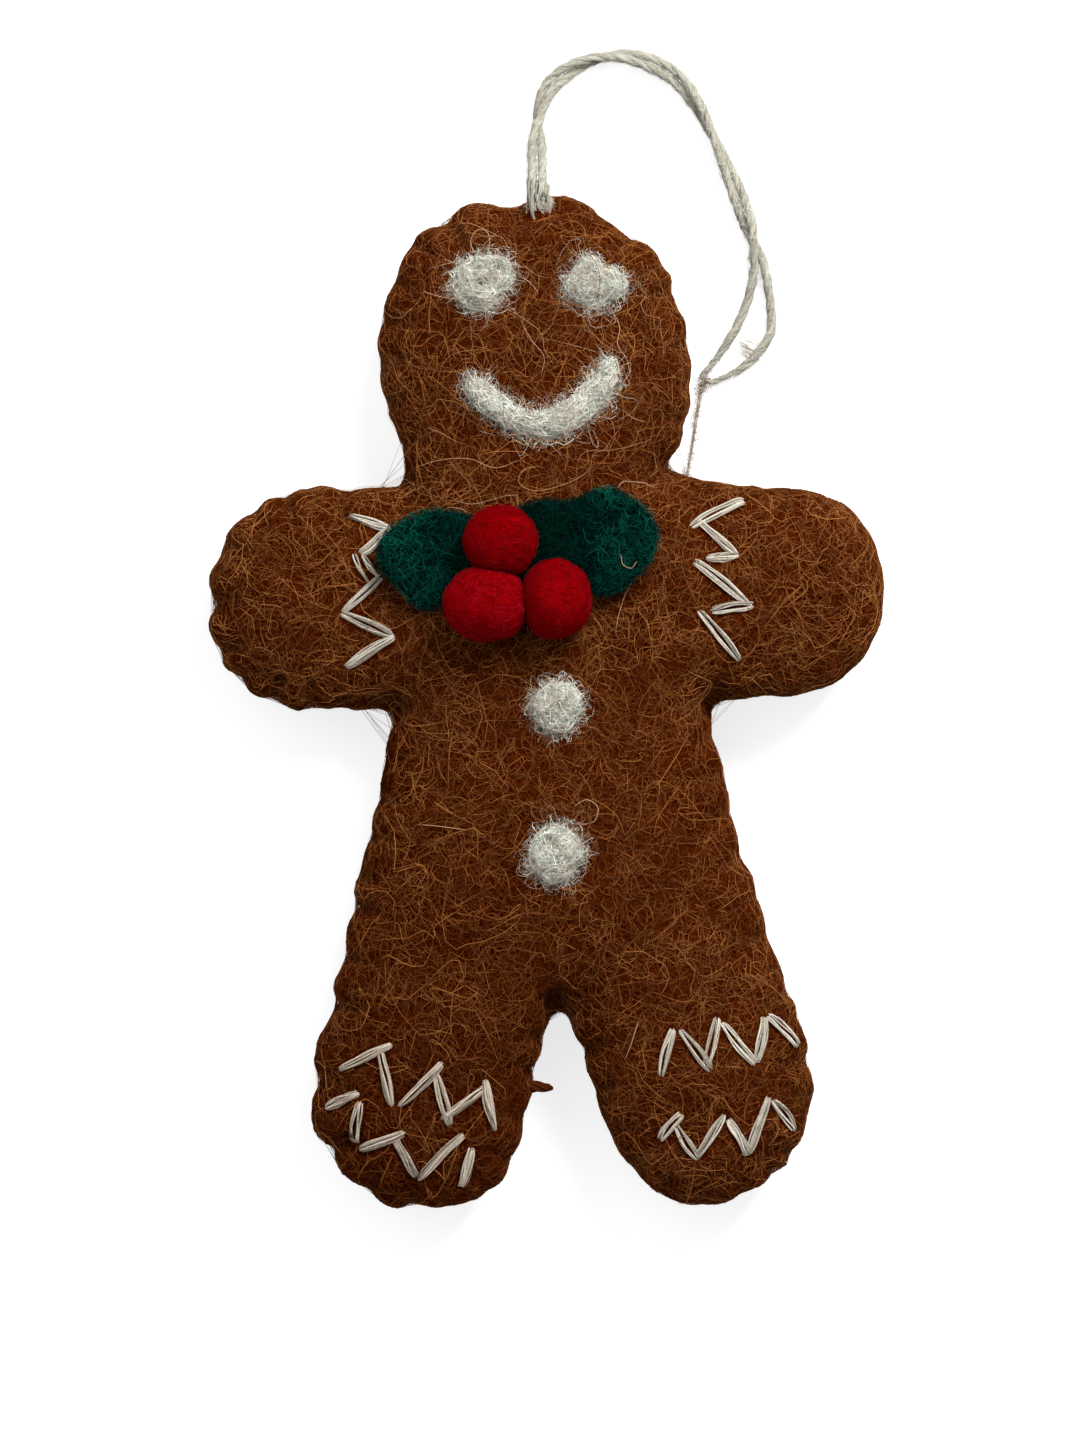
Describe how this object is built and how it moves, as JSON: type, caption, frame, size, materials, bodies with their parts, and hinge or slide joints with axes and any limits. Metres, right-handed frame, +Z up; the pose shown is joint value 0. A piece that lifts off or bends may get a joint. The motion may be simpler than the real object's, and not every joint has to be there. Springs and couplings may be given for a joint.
{
  "type": "felt gingerbread man christmas ornament",
  "caption": "Stuffed brown felt gingerbread man ornament with wool face and buttons, holly and berries, zig-zag stitching and a doubled twine hanging loop.",
  "frame": {"origin": "on the surface it lies on, under the middle of the body's outline", "axes": "+Z up out of the chest as it lies on its back, +Y towards the head, +X towards its arm on the right of the picture"},
  "size_m": [0.0844, 0.1447, 0.0273],
  "materials": {
    "brown_felt": "warm brown wool felt, matt, with long curly fibres",
    "fibre_filling": "loose white fibre filling, hidden",
    "white_wool": "off-white needle-felted wool, matt and fuzzy",
    "green_felt": "deep green wool felt, matt and fuzzy",
    "red_wool": "deep red felted wool ball, matt and dense",
    "cream_floss": "cream stranded cotton floss, slight sheen",
    "cream_twine": "cream plied cotton twine, matt"
  },
  "bodies": {
    "root": {"front_felt": "brown_felt", "back_felt": "brown_felt", "stuffing_head": "fibre_filling", "stuffing_torso": "fibre_filling", "stuffing_left_arm": "fibre_filling", "stuffing_right_arm": "fibre_filling", "stuffing_left_leg": "fibre_filling", "stuffing_right_leg": "fibre_filling", "left_eye": "white_wool", "right_eye": "white_wool", "smile": "white_wool", "upper_button": "white_wool", "lower_button": "white_wool", "left_leaf": "green_felt", "right_leaf": "green_felt", "berry_top": "red_wool", "berry_left": "red_wool", "berry_right": "red_wool", "left_arm_zigzag": "cream_floss", "right_arm_zigzag": "cream_floss", "left_leg_upper_zigzag": "cream_floss", "left_leg_lower_zigzag": "cream_floss", "right_leg_upper_zigzag": "cream_floss", "right_leg_lower_zigzag": "cream_floss", "hanging_loop": "cream_twine"}
  },
  "joints": []
}
